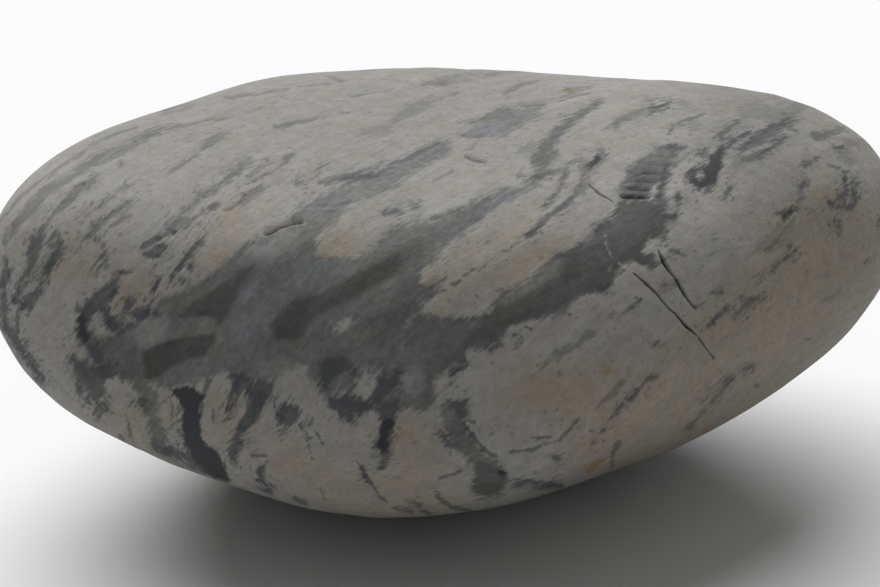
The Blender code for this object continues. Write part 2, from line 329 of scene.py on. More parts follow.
# Blue-grey dark streaks, group by group: half widths and line, as above
DARK_STREAKS = [
    # left end and left shoulder
    (1.5, 4.5, [(95, 176), (88, 182), (80, 187), (72, 197)]), (4, 2.5, [(72, 197), (62, 206), (55, 211)]),
    (1.2, 3, [(54, 213), (48, 221), (40, 232), (35, 240)]), (1.5, 4, [(52, 220), (43, 230), (38, 238)]),
    (7.5, 4.5, [(35, 242), (33, 254), (30, 268)]), (4, 2.5, [(29, 270), (21, 286), (13, 302)]),
    (2, 3, [(130, 200), (112, 214), (100, 222), (92, 232), (84, 239)]),
    (2.5, 2, [(213, 139), (202, 148)]), (0.6, 1.2, [(216, 188), (205, 194), (196, 201)]),
    (1.2, 2.2, [(194, 203), (188, 208), (183, 212)]), (4.5, 5.5, [(184, 220), (176, 220), (171, 226)]),
    (4, 3.5, [(172, 228), (160, 238), (146, 249)]), (2.5, 3.5, [(217, 205), (208, 208), (201, 213)]),
    (5, 4, [(150, 256), (158, 250), (165, 250), (158, 258)]),
    (2.2, 1.2, [(243, 202), (235, 208), (225, 211)]),
    (1, 2, [(219, 217), (210, 230), (200, 243), (192, 252)]),
    (2.8, 2, [(190, 256), (183, 266), (172, 277)]),
    (2.5, 2, [(159, 279), (155, 290), (153, 297), (149, 304), (143, 310)]),
    (1.2, 2.5, [(62, 242), (56, 254), (52, 265)]),
    (2.5, 3.2, [(52, 265), (42, 284), (30, 300), (25, 306)]),
    (0.8, 2.0, [(230, 133), (222, 136), (212, 140)]), (2, 1.5, [(240, 172), (220, 182), (200, 196)]),
    (3, 2, [(290, 157), (283, 163)]), (1.5, 2.2, [(281, 166), (270, 172), (262, 177), (254, 182)]),
    (2, 1.5, [(270, 161), (260, 168), (252, 173)]), (3.5, 3, [(258, 187), (250, 193), (245, 197)]),
    (2.2, 1.2, [(323, 164), (318, 170)]), (1.2, 2.2, [(315, 175), (306, 179), (298, 184)]),
    # top and middle
    (2.2, 2, [(410, 158), (425, 149), (447, 140)]),
    (4, 4.5, [(603, 155), (588, 167), (585, 178), (580, 190)]),
    (4, 1.5, [(580, 190), (567, 205), (550, 217), (540, 225), (530, 235)]),
    (3, 2, [(582, 160), (565, 165)]), (3, 2, [(568, 172), (564, 180), (552, 202), (545, 210)]),
    (1.6, 1.2, [(490, 351), (495, 349)]),
    # left front
    (2, 8, [(118, 272), (113, 285), (105, 292), (97, 297), (85, 313), (83, 330), (88, 340), (97, 357)]),
    (4, 2, [(74, 362), (78, 380), (80, 390), (90, 403)]),
    # lower front strands
    (4, 2.5, [(260, 470), (262, 475)]), (1.2, 2.2, [(362, 470), (366, 480)]),
    # stepped patch and right side
    (1.4, 1.0, [(636, 175), (649, 171)]), (1.5, 1.2, [(672, 146), (686, 148)]),
    (2, 1.2, [(654, 109), (668, 104)]), (1.5, 2.5, [(673, 160), (668, 167), (666, 173)]),
    (4.5, 5.5, [(668, 174), (664, 183), (661, 192), (660, 200)]), (1.6, 1.2, [(722, 133), (738, 122)]),
    (3, 7, [(744, 148), (755, 142), (765, 136)]), (7, 4.5, [(765, 136), (775, 128), (788, 121)]),
    (2.5, 2, [(773, 147), (783, 137)]), (2.5, 3.5, [(745, 148), (758, 144), (769, 141)]),
    (3.5, 2.5, [(784, 217), (795, 209)]), (1.6, 2.6, [(735, 318), (742, 311), (748, 304)]),
    (2.4, 1.2, [(744, 300), (752, 299), (763, 298)]), (0.8, 2.0, [(758, 284), (766, 273), (774, 265)]),
    (2.2, 2.6, [(776, 263), (786, 258), (795, 253)]), (2.0, 1.2, [(795, 252), (788, 246)]),
    (1.5, 2, [(656, 378), (641, 388), (630, 400)]),
    (2, 1.2, [(622, 407), (612, 417), (606, 427), (592, 443)]),
    (1.2, 2.2, [(731, 378), (722, 391), (712, 402)]), (2, 1.5, [(704, 410), (697, 418), (687, 430)]),
] + even_strokes({
    1: [[(837, 233), (840, 229)]],
    1.2: [[(626, 186), (638, 186)], [(668, 248), (676, 252)]],
    1.3: [[(743, 371), (751, 367)]],
    1.5: [
        [(196, 155), (186, 162), (172, 169)], [(342, 180), (358, 177), (374, 176)],
        [(440, 430), (452, 446)], [(762, 152), (772, 149)], [(800, 186), (808, 185)],
        [(716, 294), (720, 290)],
    ],
    1.6: [[(624, 194), (638, 195), (650, 196)]],
    1.8: [[(381, 171), (395, 165), (408, 159)], [(806, 166), (815, 158)]],
    2: [
        [(124, 186), (108, 196), (80, 214)], [(200, 214), (192, 221), (184, 226)], [(57, 230), (45, 244)],
        [(105, 252), (93, 273)], [(387, 213), (400, 211)], [(560, 170), (540, 178), (521, 177)],
        [(104, 390), (106, 410)], [(465, 365), (458, 372), (452, 380)], [(418, 504), (428, 514)],
        [(680, 196), (677, 208)], [(702, 153), (707, 151)], [(723, 199), (733, 188)],
        [(857, 180), (854, 190), (855, 196), (848, 205), (834, 207)], [(663, 288), (676, 284)],
        [(600, 291), (613, 286)], [(709, 327), (720, 316), (728, 309)],
    ],
    2.5: [[(309, 422), (310, 423)], [(258, 480), (272, 490)], [(846, 178), (847, 192), (838, 198)]],
    3: [
        [(121, 162), (122, 163)], [(190, 266), (191, 267)], [(182, 279), (183, 280)],
        [(95, 240), (96, 241)], [(85, 385), (97, 400), (98, 416)], [(240, 385), (232, 402), (224, 420)],
        [(518, 485), (545, 485), (560, 487)],
    ],
    3.5: [[(662, 205), (668, 214), (675, 218)]],
    4: [
        [(4, 264), (2, 280), (3, 320), (18, 347), (35, 370), (42, 380)],
        [(103, 300), (106, 318), (118, 330)], [(139, 403), (141, 405)],
        [(155, 446), (180, 456), (205, 472), (215, 478)],
    ],
}) + spots({
    0.8: [(514, 337)],
    1.2: [(833, 222)],
    2: [(509, 289), (155, 314), (829, 203), (848, 207)],
    2.5: [(878, 222)],
    3: [(414, 203), (129, 325), (559, 459)],
})

# Broader dark patches, as outlines
DARK_OUTLINES = [
    [(320, 362), (334, 358), (350, 361), (357, 370), (350, 377), (338, 374), (330, 380), (327, 390),
        (320, 380)],
    [(328, 398), (350, 395), (368, 398), (372, 408), (358, 411), (356, 425), (348, 424), (340, 412),
        (330, 406)],
    [(381, 374), (390, 376), (400, 371), (397, 381), (391, 391), (382, 396), (373, 401), (376, 392),
        (381, 385)],
    [(448, 398), (467, 399), (467, 416), (457, 415), (454, 406), (448, 402)],
    [(250, 384), (272, 382), (270, 396), (262, 408), (252, 425), (244, 440), (237, 456), (238, 468),
        (230, 463), (228, 450), (238, 428), (247, 405)],
    [(228, 374), (244, 371), (247, 384), (238, 396), (230, 388)],
    [(111, 283), (119, 288), (113, 297), (106, 305), (107, 314), (100, 312), (92, 317), (87, 327),
        (91, 336), (99, 345), (99, 358), (90, 352), (84, 343), (80, 330), (82, 317), (89, 306), (96, 296),
        (104, 289)],
    [(73, 362), (82, 360), (94, 364), (106, 362), (118, 365), (117, 380), (105, 383), (106, 397),
        (97, 399), (87, 390), (78, 383)],
    [(272, 406), (286, 402), (300, 410), (296, 420), (285, 426), (282, 436), (276, 434), (276, 424)],
    [(150, 256), (158, 246), (168, 250), (160, 258), (155, 264)],
    [(124, 299), (130, 296), (137, 300), (135, 306), (126, 308)],
    [(127, 311), (136, 308), (151, 307), (151, 315), (140, 318), (129, 317)],
    [(381, 404), (398, 402), (397, 418), (395, 432), (391, 446), (389, 458), (384, 471), (379, 470),
        (384, 457), (380, 452), (374, 456), (376, 440), (379, 428), (380, 414)],
]

# Blue-black patches, as outlines
BLACK_OUTLINES = [
    [(170, 391), (188, 387), (206, 395), (204, 404), (201, 412), (201, 430), (204, 445), (215, 449),
        (225, 465), (230, 484), (214, 480), (196, 466), (184, 450), (181, 430), (181, 412), (177, 402)],
]

# Blue-black cores and the ring on the right
BLACK_STREAKS = [
    (3, 2, [(174, 232), (175, 234)]), (3, 2, [(160, 239), (161, 240)]), (3, 3, [(598, 158), (590, 166)]),
    (4, 4, [(82, 320), (86, 338)]), (3, 3, [(502, 474), (504, 475)]),
    (5, 5, [(388, 424), (384, 436), (383, 448)]), (2, 2, [(785, 216), (793, 211)]),
    (1.5, 2.0, [(666, 177), (662, 186), (660, 198)]), (1.0, 1.0, [(625, 195), (649, 196)]),
]
RING_OUTLINE = [
    (686, 176), (692, 168), (702, 167), (710, 163), (712, 154), (722, 151), (722, 163), (720, 175),
    (716, 184), (700, 188), (693, 184),
]
RING_HOLE = (3.5, 3.5, [(700, 176), (701, 176)])
RING_BOLDNESS = 1.0
RING_CORE_DEPTH = 1.5
RING_TAIL = (4, 1, [(716, 158), (722, 150), (732, 142), (748, 133)])

# Thin dark lines and small dashes
THIN_LINES = [
    (2.2, 1.6, [(619, 443), (614, 452), (613, 468)]),
    (0.8, 1.2, [(138, 128), (120, 134), (100, 143), (80, 154)]), (1.8, 1.4, [(167, 130), (178, 127)]),
    (0.9, 0.8, [(180, 127), (205, 121), (225, 118)]), (1.4, 1.2, [(226, 98), (250, 95), (290, 90)]),
    (1.6, 0.8, [(329, 76), (336, 78), (343, 80)]),
    (1.2, 0.9, [(275, 126), (290, 124), (312, 119), (330, 116)]),
    (1.2, 1, [(320, 205), (330, 206), (352, 202)]), (0.9, 1.1, [(430, 296), (438, 293), (446, 291)]),
    (1.8, 1.2, [(452, 284), (456, 284), (461, 281)]), (2.2, 2, [(472, 271), (479, 269), (485, 265)]),
    (1.2, 0.8, [(487, 263), (495, 257)]), (1.6, 1, [(512, 246), (520, 241)]),
    (1.6, 1.4, [(527, 235), (536, 231), (541, 225)]), (2.0, 2.6, [(296, 497), (306, 502)]),
    (0.8, 1.2, [(355, 460), (360, 468), (368, 480), (376, 490)]), (1.3, 1.2, [(364, 474), (367, 482)]),
    (1.5, 2, [(394, 508), (412, 513)]), (1, 0.8, [(466, 157), (476, 161), (488, 163)]),
    (1.6, 1.2, [(696, 306), (702, 309)]), (1.2, 2.0, [(180, 317), (194, 316), (208, 312)]),
] + even_strokes({
    0.6: [[(300, 425), (306, 440), (312, 460)], [(318, 482), (326, 500)]],
    0.8: [[(300, 87), (330, 83)], [(352, 96), (395, 88)], [(165, 112), (188, 100)]],
    0.9: [[(509, 454), (533, 450), (560, 441)]],
    1: [
        [(24, 330), (22, 340)], [(341, 113), (350, 113)], [(322, 211), (336, 211)],
        [(400, 185), (383, 192)], [(464, 276), (470, 273)], [(127, 417), (135, 448)],
        [(172, 403), (172, 430)], [(178, 405), (178, 435)], [(212, 410), (213, 425)],
        [(560, 100), (590, 93)], [(100, 205), (80, 222)], [(480, 140), (470, 150)],
        [(602, 131), (618, 124)], [(834, 146), (843, 146)], [(533, 439), (552, 438)],
        [(560, 441), (580, 418)],
    ],
    1.2: [
        [(80, 154), (60, 166), (44, 178), (26, 192), (12, 207), (0, 220)], [(448, 92), (458, 92)],
        [(598, 149), (604, 149)], [(503, 250), (510, 250)], [(300, 425), (310, 440)],
        [(313, 430), (323, 445)], [(252, 456), (265, 457)], [(440, 479), (447, 476), (461, 471)],
        [(378, 494), (388, 502)], [(491, 389), (496, 389)], [(706, 190), (707, 191)],
        [(697, 201), (698, 202)], [(720, 115), (726, 114)], [(635, 298), (641, 300)],
        [(655, 345), (660, 341)], [(713, 240), (720, 238)],
    ],
    1.4: [[(866, 263), (869, 259)]],
    1.5: [
        [(132, 214), (110, 226)], [(33, 303), (27, 317)], [(20, 303), (17, 315), (17, 337)],
        [(250, 156), (228, 169)], [(434, 181), (452, 171)], [(505, 92), (525, 83), (540, 80)],
        [(458, 121), (486, 117)], [(120, 272), (133, 273)], [(120, 435), (125, 445)],
        [(165, 402), (175, 391)], [(395, 372), (404, 374)], [(483, 452), (497, 457)],
        [(470, 422), (474, 423)], [(237, 384), (230, 400), (225, 414)], [(650, 109), (669, 104)],
        [(670, 134), (673, 125), (690, 118), (705, 113)], [(790, 129), (798, 131)],
        [(829, 165), (840, 167)], [(663, 238), (668, 230)], [(702, 305), (708, 302)],
        [(766, 251), (778, 240)], [(525, 327), (532, 330)],
    ],
    1.8: [
        [(424, 84), (447, 84)], [(465, 425), (475, 440), (485, 452), (497, 458)],
        [(844, 172), (851, 172)],
    ],
    2: [[(202, 398), (209, 381)], [(435, 490), (440, 498), (450, 506), (470, 511)]],
}) + spots({
    1.2: [
        (692, 192), (628, 307), (695, 291), (57, 348), (64, 345), (67, 233), (78, 232), (305, 192),
        (313, 191), (297, 177),
    ],
    1.5: [
        (109, 308), (690, 134), (683, 213), (854, 162), (829, 226), (808, 340), (757, 386), (566, 369),
        (569, 315),
    ],
})

# A pale scratch across the main band, in short broken strokes
SCRATCHES = [
    (1.1, 0.9, [(605, 232), (607, 237), (607, 242), (608, 247), (611, 253)]),
    (0.9, 1.1, [(612, 256), (612, 262), (610, 270)]),
    (0.8, 0.8, [(620, 262), (624, 266)]),
]

# Broad warm areas, where the light stone is tan, and how far around them their field is worked out
WARM_MARGIN = 40.0
WARM_AREAS = [
    (55, 55, [(620, 430), (720, 380), (800, 290), (830, 240)]),
    (18, 18, [(290, 470), (360, 490), (440, 500)]), (10, 10, [(440, 275), (480, 250), (520, 232)]),
    (28, 28, [(540, 390), (600, 400)]), (14, 12, [(335, 245), (355, 240)]),
    (26, 24, [(505, 268), (540, 256)]), (28, 24, [(405, 440), (418, 470)]),
    (18, 14, [(215, 250), (235, 215)]), (14, 14, [(140, 285), (120, 300)]),
    (14, 14, [(120, 415), (150, 420)]), (10, 10, [(440, 305), (470, 285)]),
    (12, 10, [(240, 420), (222, 432)]), (14, 10, [(60, 262), (75, 250)]),
]

# Ochre and brown stains
STAINS = [
    (4, 4, [(605, 373), (615, 370)]), (3, 3, [(586, 302), (594, 308)]),
    (3, 2.5, [(590, 471), (604, 461)]), (1.5, 1.5, [(562, 88), (570, 88)]),
    (1, 1, [(587, 351), (588, 350)]),
] + spots({
    1.5: [(706, 432), (65, 311)],
})

# Cracks: half width in pixels at the start and at the end, depth in millimetres, and the line
CRACKS = [
    (0.4, 1.3, 0.7, [(634, 273), (641, 279), (648, 285)]),
    (1.3, 0.5, 0.7, [(648, 285), (657, 294), (662, 300), (668, 307)]),
    (0.5, 1.7, 0.9, [(668, 307), (679, 317), (688, 328)]),
    (1.7, 0.5, 0.9, [(688, 328), (694, 333), (697, 336)]),
    (0.8, 0.4, 0.45, [(699, 338), (704, 344), (709, 351)]),
    (0.4, 1.1, 0.4, [(709, 351), (712, 355), (714, 358)]),
    (0.5, 2.3, 0.9, [(659, 251), (661, 256), (664, 262)]),
    (2.3, 0.9, 0.9, [(664, 262), (668, 269), (674, 276)]),
    (0.9, 1.8, 0.8, [(674, 276), (678, 282), (681, 287)]),
    (1.8, 0.5, 0.8, [(681, 287), (687, 296), (693, 304), (698, 310)]),
    (0.5, 1.1, 0.5, [(590, 184), (598, 191)]),
    (1.1, 0.4, 0.5, [(598, 191), (605, 195), (613, 200)]),
]

# How far from its ends a ledge's rim tapers away, and where its wall starts and ends against the line of
# the rim, in pixels
RIM_TAPER = 6.0
RIM_WALL = (-1.0, 0.6)

# Ledges: how far the hollow reaches above the line in pixels, depth in millimetres, and the line of the
# near rim from left to right
LEDGES = [
    (11, 0.58, [(262, 236), (268, 235), (273, 233), (280, 229), (287, 227), (293, 225), (306, 223)]),
    (7, 0.40, [(461, 135), (468, 137), (480, 137), (497, 136)]),
    (6, 0.35, [(500, 106), (525, 105), (550, 103)]),
    (5, 0.45, [(463, 155), (472, 160), (489, 163)]),
]

# Where the streaks grow darker, down and to the right, and paler down the right flank: from and to, in
# pixels. Then how dark they are on the top, how much the right side counts, and how much paler the flank is.
# Their paleness on the top is painted sheen, as of light glancing off the top.
LOW_DOWN = (170.0, 300.0)
TO_THE_RIGHT = (590.0, 660.0)
RIGHT_FLANK = (220.0, 280.0)
TOP_STRENGTH_UNDER_PAINTED_SHEEN = 0.60
RIGHT_SHARE = 0.75
FLANK_PALER = 0.20

# The stepped patch: its lowest and highest steps, from left to right, and the steps between them
STEPS = 7
LOWEST_STEP = ((620, 196), (651, 197))
HIGHEST_STEP = ((659, 147), (682, 149))
STEP_REACH = 5.0
LOWEST_STEP_DEPTH = 0.36
HIGHEST_STEP_DEPTH = 0.10


def direction(azimuth, elevation):
    """The unit vector from the middle of the stone along an azimuth and an elevation in degrees."""
    a = math.radians(azimuth)
    e = math.radians(elevation)
    return np.array([math.cos(a) * math.cos(e), math.sin(a) * math.cos(e), math.sin(e)])


FACE_DIRECTIONS = np.array([direction(azimuth, elevation) for azimuth, elevation, _ in WORN_FACES.values()])
FACE_FULLNESS = np.array([fullness for _, _, fullness in WORN_FACES.values()])
FACE_DISTANCES = FACE_FULLNESS * np.linalg.norm(FACE_DIRECTIONS * HALF_AXES, axis=1)


def unit_vectors(vectors):
    """Each row drawn out or in to length one."""
    return vectors / np.linalg.norm(vectors, axis=-1, keepdims=True)


def worn_points(units):
    """Where lines from the middle along unit vectors leave the stone's broad faces."""
    nearness = np.clip(units @ FACE_DIRECTIONS.T / FACE_DISTANCES, 0.0, None)
    reach = np.sum(nearness ** FACE_FLATNESS, axis=1) ** (-1.0 / FACE_FLATNESS)
    return units * reach[:, None]


def surface_points(units):
    """The same places with the swells and dips added."""
    places = worn_points(units)
    rise = np.zeros(len(units))
    for azimuth, elevation, reach, height in SWELLS_AND_DIPS.values():
        centre = worn_points(direction(azimuth, elevation)[None, :])
        away = np.linalg.norm(places - centre, axis=1)
        rise += height * np.exp(-((away / reach) ** 2))
    return places + units * rise[:, None]


def surface_normals(units):
    """The way straight out of the surface, from three places a little apart."""
    step = 0.004
    aside = unit_vectors(np.cross(units, [0.0, 0.1, 1.0]))
    upward = np.cross(units, aside)
    here = surface_points(units)
    one_side = surface_points(unit_vectors(units + step * aside))
    above = surface_points(unit_vectors(units + step * upward))
    return unit_vectors(np.cross(one_side - here, above - here))


def to_picture(points):
    """Where points in millimetres about the middle stand in the picture, in pixels."""
    depth = CAMERA_DISTANCE - points @ BACK
    x = MIDDLE_IN_PICTURE[0] + FOCAL_PIXELS * (points @ RIGHT) / depth
    y = MIDDLE_IN_PICTURE[1] - FOCAL_PIXELS * (points @ UP) / depth
    return np.stack([x, y], axis=1)


def facing_camera(points, normals):
    """How squarely each place faces the camera: 1 square on, 0 edge on, below 0 hidden."""
    to_camera = unit_vectors(BACK * CAMERA_DISTANCE - points)
    return np.sum(normals * to_camera, axis=1)


def places_near(pixels, corners, margin):
    """The numbers of the pixel places within a margin of the box around some corners."""
    low = corners.min(axis=0) - margin
    high = corners.max(axis=0) + margin
    return np.flatnonzero(np.all((pixels > low) & (pixels < high), axis=1))


def from_segment(places, start, end):
    """How far places are from a straight segment, and how far along it they are, from 0 to 1."""
    run = end - start
    along = np.clip((places - start) @ run / max(run @ run, 1e-9), 0.0, 1.0)
    return np.linalg.norm(places - start - along[:, None] * run, axis=1), along


def stroke_field(pixels, strokes, margin=FIELD_MARGIN):
    """How far inside the nearest stroke each pixel place is; below zero it is outside."""
    inside = np.full(len(pixels), -margin)
    for start_half, end_half, line in strokes:
        line = np.array(line, float)
        near = places_near(pixels, line, max(start_half, end_half) + margin)
        lengths = np.linalg.norm(np.diff(line, axis=0), axis=1)
        marks = np.concatenate([[0.0], np.cumsum(lengths)]) / lengths.sum()
        for index in range(len(line) - 1):
            away, along = from_segment(pixels[near], line[index], line[index + 1])
            share = marks[index] + (marks[index + 1] - marks[index]) * along
            half = start_half + (end_half - start_half) * share
            inside[near] = np.maximum(inside[near], half - away)
    return inside


def outline_field(pixels, outlines, margin=FIELD_MARGIN):
    """How far inside the nearest closed outline each pixel place is; below zero it is outside."""
    inside = np.full(len(pixels), -margin)
    for outline in outlines:
        corners = np.array(outline, float)
        near = places_near(pixels, corners, margin)
        places = pixels[near]
        nearest = np.full(len(near), np.inf)
        within = np.zeros(len(near), bool)
        for start, end in zip(corners, np.roll(corners, -1, axis=0)):
            away, _ = from_segment(places, start, end)
            nearest = np.minimum(nearest, away)
            crosses = (start[1] > places[:, 1]) != (end[1] > places[:, 1])
            rise = end[1] - start[1] if end[1] != start[1] else 1.0
            meets = start[0] + (places[:, 1] - start[1]) / rise * (end[0] - start[0])
            within ^= crosses & (places[:, 0] < meets)
        inside[near] = np.maximum(inside[near], np.where(within, nearest, -nearest))
    return inside


def smooth_step(low, high, values):
    """0 below low, 1 above high, and a soft rise between."""
    share = np.clip((values - low) / (high - low), 0.0, 1.0)
    return share * share * (3.0 - 2.0 * share)


def rock_axes(across):
    """Three axes at right angles, the first one across the layers, as columns."""
    across = across / np.linalg.norm(across)
    along = unit_vectors(np.cross(across, [0.0, 1.0, 0.0]))
    return np.stack([across, along, np.cross(across, along)], axis=1)


# The layers' own broad bends: size and reach in millimetres
LAYER_BEND_SIZE = 22.0
LAYER_BEND_REACH = 7.0

# The layers are folded low on the near side, where they stand almost upright
FOLD_MIDDLE = np.array([-18.0, -30.0, -12.0])
FOLD_REACH = np.array([30.0, 22.0, 13.0])
FOLD_TURN = rock_axes(np.array([0.93, -0.25, 0.28])) - rock_axes(LAYER_NORMAL)

LATTICE_SIZE = 32
LATTICE = np.random.default_rng(11).random((LATTICE_SIZE, LATTICE_SIZE, LATTICE_SIZE))


def lattice_noise(points):
    """Smooth noise between 0 and 1, with one bump to a unit, at places given as rows."""
    cell = np.floor(points).astype(int)
    share = points - cell
    share = share * share * (3.0 - 2.0 * share)
    total = np.zeros(len(points))
    for corner in np.ndindex(2, 2, 2):
        weight = np.prod(np.where(np.array(corner) == 1, share, 1.0 - share), axis=1)
        spot = (cell + np.array(corner)) % LATTICE_SIZE
        total += weight * LATTICE[spot[:, 0], spot[:, 1], spot[:, 2]]
    return total


def layering_places(points):
    """Places in the rock's own axes: first across the layers, then two ways along them, in millimetres."""
    places = points @ rock_axes(LAYER_NORMAL)
    wander = lattice_noise(points / LAYER_BEND_SIZE + 5.3) - 0.5
    places[:, 0] += LAYER_BEND_REACH * wander
    from_fold = points - FOLD_MIDDLE
    folded = smooth_step(1.0, 0.3, np.linalg.norm(from_fold / FOLD_REACH, axis=1))[:, None]
    return places + folded * (from_fold @ FOLD_TURN)


# How far drawn edges wander: size of the bends in millimetres, reach in pixels, and a place in the noise
LAYER_WANDERS = ((2.4, 4.6, 1.7), (0.9, 2.6, 9.1))
SMALL_WANDERS = ((1.3, 1.2, 4.3), (0.4, 0.9, 6.1))


def wandering_pixels(points, pixels, wanders):
    """The picture places moved a little to and fro, so that drawn edges wander as grown ones do."""
    moved = pixels.copy()
    for cell, reach, offset in wanders:
        moved[:, 0] += reach * (lattice_noise(points / cell + offset) - 0.5)
        moved[:, 1] += reach * (lattice_noise(points / cell + offset + 13.0) - 0.5)
    return moved


def toned(pixels, base, tones):
    """How light the rock is at each place: a base tone, with the drawn tones laid over it in turn."""
    tone = np.full(len(pixels), base)
    for own_tone, softness, outline in tones:
        share = smooth_step(-softness, softness, outline_field(pixels, [outline], softness + 1.0))
        tone += (own_tone - tone) * share
    return tone


def wanted_cell(pixels, facing):
    """The mesh size wanted at each place, in pixels: fine where a line or the edge of a layer runs."""
    wanted = np.full(len(pixels), ANY_CELL)
    outlines = list(SLATE_OUTLINES.values()) + PALE_OUTLINES + DARK_OUTLINES + [RING_OUTLINE]
    wanted[np.abs(outline_field(pixels, outlines)) < OUTLINE_REACH] = OUTLINE_CELL
    for _, _, outline in SLATE_TONES_AND_PAINTED_HIGHLIGHT:
        wanted[np.abs(outline_field(pixels, [outline])) < TONE_REACH] = TONE_CELL
    streaks = DARK_STREAKS + GREY_STREAKS + BLACK_STREAKS + SLATE_STRANDS + PALE_STRANDS
    wanted[stroke_field(pixels, streaks + [RING_HOLE, RING_TAIL]) > -STREAK_REACH] = STREAK_CELL
    wanted[stroke_field(pixels, THIN_LINES + SCRATCHES) > -LINE_REACH] = LINE_CELL
    wanted[ledge_depth(pixels) > 0.0] = LEDGE_CELL
    wanted[crack_depth(pixels, CRACK_REACH) > 0.0] = CRACK_CELL
    wanted[facing < FINE_MESH_FACING] = ANY_CELL
    return wanted


def ledge_depth(pixels):
    """How deep the ledges' hollows and the steps lie at each place, in millimetres."""
    rims = list(LEDGES)
    for step in range(STEPS):
        share = step / (STEPS - 1)
        rim = np.array(LOWEST_STEP) * (1 - share) + np.array(HIGHEST_STEP) * share
        depth = LOWEST_STEP_DEPTH * (1 - share) + HIGHEST_STEP_DEPTH * share
        rims.append((STEP_REACH, depth, rim))
    deepest = np.zeros(len(pixels))
    for reach, depth, rim in rims:
        rim = np.array(rim, float)
        near = places_near(pixels, rim, reach - RIM_WALL[0])
        places = pixels[near]
        rim_height = np.interp(places[:, 0], rim[:, 0], rim[:, 1])
        above = rim_height - places[:, 1]
        from_end = np.minimum(places[:, 0] - rim[0, 0], rim[-1, 0] - places[:, 0])
        taper = smooth_step(0.0, RIM_TAPER, from_end)
        slope = np.clip(1.0 - above / reach, 0.0, 1.0) ** 2
        wall = smooth_step(*RIM_WALL, above)
        deepest[near] = np.maximum(deepest[near], depth * taper * slope * wall)
    return deepest


def crack_depth(pixels, around=0.4):
    """How deep the cracks lie at each place, in millimetres, with a slope some pixels wide around them."""
    deepest = np.zeros(len(pixels))
    for start_half, end_half, depth, line in CRACKS:
        inside = stroke_field(pixels, [(start_half, end_half, line)])
        share = np.clip((inside + around) / (max(start_half, end_half) + around), 0.0, 1.0)
        deepest = np.maximum(deepest, depth * share)
    return deepest


def vertex_places(mesh):
    """The places of a bmesh's vertices, one to a row."""
    return np.array([vert.co[:] for vert in mesh.verts])


def stone_mesh():
    """A cube drawn out to the stone's form, with small quads where lines and layers need them."""
    mesh = bmesh.new()
    bmesh.ops.create_cube(mesh, size=2.0)
    bmesh.ops.subdivide_edges(mesh, edges=mesh.edges[:], cuts=QUADS_PER_SIDE - 1, use_grid_fill=True)
    on_cube = np.tan(vertex_places(mesh) * math.pi / 4)
    units = unit_vectors(unit_vectors(on_cube) * HALF_AXES)
    for vert, unit in zip(mesh.verts, units):
        vert.co = unit
    for _ in range(REFINEMENTS):
        refine(mesh)
    return mesh


def refine(mesh):
    """Halve the faces that are larger in the picture than wanted."""
    mesh.verts.index_update()
    units = unit_vectors(vertex_places(mesh))
    points = surface_points(units)
    pixels = to_picture(points)
    wanted = wanted_cell(pixels, facing_camera(points, surface_normals(units)))
    chosen = set()
    for face in mesh.faces:
        numbers = [vert.index for vert in face.verts]
        limit = wanted[numbers].min()
        if limit == ANY_CELL:
            continue
        around = pixels[numbers]
        longest = np.abs(around - np.roll(around, -1, axis=0)).max()
        if longest > limit:
            chosen.update(face.edges)
    bmesh.ops.subdivide_edges(mesh, edges=list(chosen), cuts=1, use_grid_fill=True)


def relief(points, pixels, hollow, seen, layering):
    """How far each place stands out from the smooth form, in millimetres."""
    ripples = lattice_noise(layering * RIPPLES) - 0.5
    fine_ripples = lattice_noise(layering * FINE_RIPPLES + 7.7) - 0.5
    lumps = lattice_noise(points / LUMP_SIZE + 3.1) - 0.5
    rise = RIPPLE_HEIGHT * ripples + FINE_RIPPLE_HEIGHT * fine_ripples + LUMP_HEIGHT * lumps
    dark = smooth_step(-1.0, 3.0, stroke_field(pixels, DARK_STREAKS + BLACK_STREAKS))
    slate = smooth_step(-2.0, 4.0, outline_field(pixels, SLATE_OUTLINES.values()))
    return rise - seen * (DARK_SUNK * dark + SLATE_SUNK * slate + hollow)


def fit_to_cad(points):
    """Rest the stone on its flat and bring its box to the CAD's, in metres, just inside it."""
    flat = points[:, 2].min() + REST_FLAT_DEPTH
    points[:, 2] = np.maximum(points[:, 2], flat)
    low = points.min(axis=0)
    high = points.max(axis=0)
    cad_low = np.array(CAD_LOW) + BOX_INSET * MM
    cad_high = np.array(CAD_HIGH) - BOX_INSET * MM
    cad_low[2] = CAD_LOW[2]
    return cad_low + (points - low) / (high - low) * (cad_high - cad_low)


